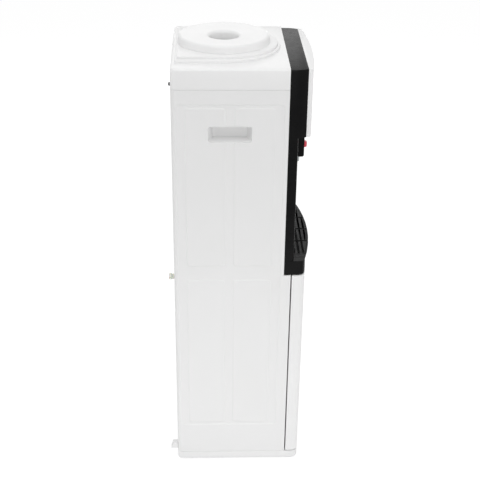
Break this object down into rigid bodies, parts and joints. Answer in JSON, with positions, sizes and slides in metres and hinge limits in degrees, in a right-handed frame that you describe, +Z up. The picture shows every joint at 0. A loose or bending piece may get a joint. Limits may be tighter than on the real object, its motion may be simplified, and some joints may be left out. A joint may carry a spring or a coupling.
{
  "type": "top load water cooler",
  "caption": "Floor standing hot and cold water dispenser that carries an upturned bottle, with push taps over a drip tray and a storage cabinet behind a hinged door.",
  "frame": {"origin": "On the floor, under the middle of the overall box.", "axes": "+Z up, front with taps and door faces -Y, +X is the viewer's right when facing the front."},
  "size_m": [0.312, 0.312, 0.9774],
  "materials": {
    "white_plastic": "smooth moulded white, satin gloss",
    "white_steel": "powder coated white sheet, satin",
    "black_plastic": "smooth moulded black",
    "grey_plastic": "moulded grey",
    "red_plastic": "moulded red",
    "blue_plastic": "moulded blue",
    "green_plastic": "moulded green",
    "clear_plastic": "clear moulded light guide",
    "spout_plastic": "pale moulded spout",
    "silicone": "pale translucent silicone",
    "rubber": "black rubber",
    "foam": "white expanded foam",
    "steel": "bare stainless and zinc plated steel",
    "dark_steel": "blackened screw",
    "aluminium": "extruded aluminium",
    "ceramic": "ceramic faced plate",
    "magnet": "dark ferrite magnet in its holder"
  },
  "bodies": {
    "cabinet": {"base": "white_plastic", "foot_front_left": "rubber", "foot_front_right": "rubber", "foot_rear_left": "rubber", "foot_rear_right": "rubber", "side_panel_left": "white_steel", "side_panel_right": "white_steel", "hand_grip_left": "white_plastic", "hand_grip_right": "white_plastic", "back_panel": "white_steel", "rear_spacer": "white_plastic", "cover_screw_left": "dark_steel", "cover_screw_right": "dark_steel", "top_cover": "white_plastic", "cold_tank": "grey_plastic", "tank_lid": "grey_plastic", "cold_tank_jacket": "foam", "tank_shelf": "steel", "cold_block": "aluminium", "thermoelectric_plate": "ceramic", "heat_sink": "aluminium", "fan_frame": "black_plastic", "hot_tank": "steel", "heater_band": "steel", "hot_tank_jacket": "foam", "machine_deck": "steel", "hot_tube": "silicone", "cold_tube": "silicone", "feed_tube": "silicone", "drain_tube": "silicone", "drain_outlet": "silicone", "switch_bezel": "black_plastic", "mains_gland": "rubber", "front_frame": "black_plastic", "alcove_liner": "black_plastic", "head_cover": "white_plastic", "indicator_strip": "clear_plastic", "tap_body_hot": "black_plastic", "tap_body_cold": "black_plastic", "nozzle_hot": "spout_plastic", "nozzle_cold": "spout_plastic", "door_hinge_pin": "steel", "catch_magnet": "magnet", "cabinet_liner": "white_plastic"},
    "door": {"door_shell": "white_plastic", "door_back_sheet": "white_plastic", "catch_plate": "steel"},
    "seat": {"bottle_seat": "white_plastic", "bottle_probe": "white_plastic"},
    "hot_lever": {"tap_lever_hot": "black_plastic"},
    "child_lock": {"child_lock_button": "red_plastic"},
    "cold_lever": {"tap_lever_cold": "black_plastic", "cold_marker": "blue_plastic"},
    "tray": {"drip_tray": "black_plastic"},
    "grille": {"drip_grille": "black_plastic"},
    "drain_plug": {"drain_cap": "silicone"},
    "heating_switch": {"rocker_heating": "red_plastic"},
    "cooling_switch": {"rocker_cooling": "green_plastic"},
    "fan": {"fan_rotor": "black_plastic"}
  },
  "joints": [
    {"name": "door_hinge", "type": "hinge", "parent": "cabinet", "child": "door", "pos_m": [0.142, -0.12506, 0.0235], "axis": [0, 0, 1], "range_deg": [0, 105]},
    {"name": "seat_lift", "type": "slide", "parent": "cabinet", "child": "seat", "axis": [0, 0, 1], "range_m": [0, 0.08]},
    {"name": "hot_lever_press", "type": "hinge", "parent": "cabinet", "child": "hot_lever", "pos_m": [-0.065, -0.1165, 0.797], "axis": [1, 0, 0], "range_deg": [0, 5], "stiffness_Nm_per_rad": 1, "springref_deg": -2.86},
    {"name": "cold_lever_press", "type": "hinge", "parent": "cabinet", "child": "cold_lever", "pos_m": [0.065, -0.1165, 0.797], "axis": [1, 0, 0], "range_deg": [0, 5], "stiffness_Nm_per_rad": 1, "springref_deg": -2.86},
    {"name": "child_lock_press", "type": "slide", "parent": "hot_lever", "child": "child_lock", "axis": [0, 1, 0], "range_m": [0, 0.0015], "stiffness_N_per_m": 300, "springref_m": -0.0005},
    {"name": "tray_slide", "type": "slide", "parent": "cabinet", "child": "tray", "axis": [0, -1, 0], "range_m": [0, 0.1]},
    {"name": "grille_lift", "type": "slide", "parent": "tray", "child": "grille", "axis": [0, 0, 1], "range_m": [0, 0.05]},
    {"name": "drain_cap_pull", "type": "slide", "parent": "cabinet", "child": "drain_plug", "axis": [0, 1, 0], "range_m": [0, 0.02]},
    {"name": "heating_rocker", "type": "hinge", "parent": "cabinet", "child": "heating_switch", "pos_m": [0.086, 0.13475, 0.61], "axis": [-1, 0, 0], "range_deg": [0, 14]},
    {"name": "cooling_rocker", "type": "hinge", "parent": "cabinet", "child": "cooling_switch", "pos_m": [0.11, 0.13475, 0.61], "axis": [-1, 0, 0], "range_deg": [0, 14]},
    {"name": "fan_spin", "type": "hinge", "parent": "cabinet", "child": "fan", "pos_m": [0, 0.1306, 0.8177], "axis": [0, 1, 0], "continuous": true}
  ]
}
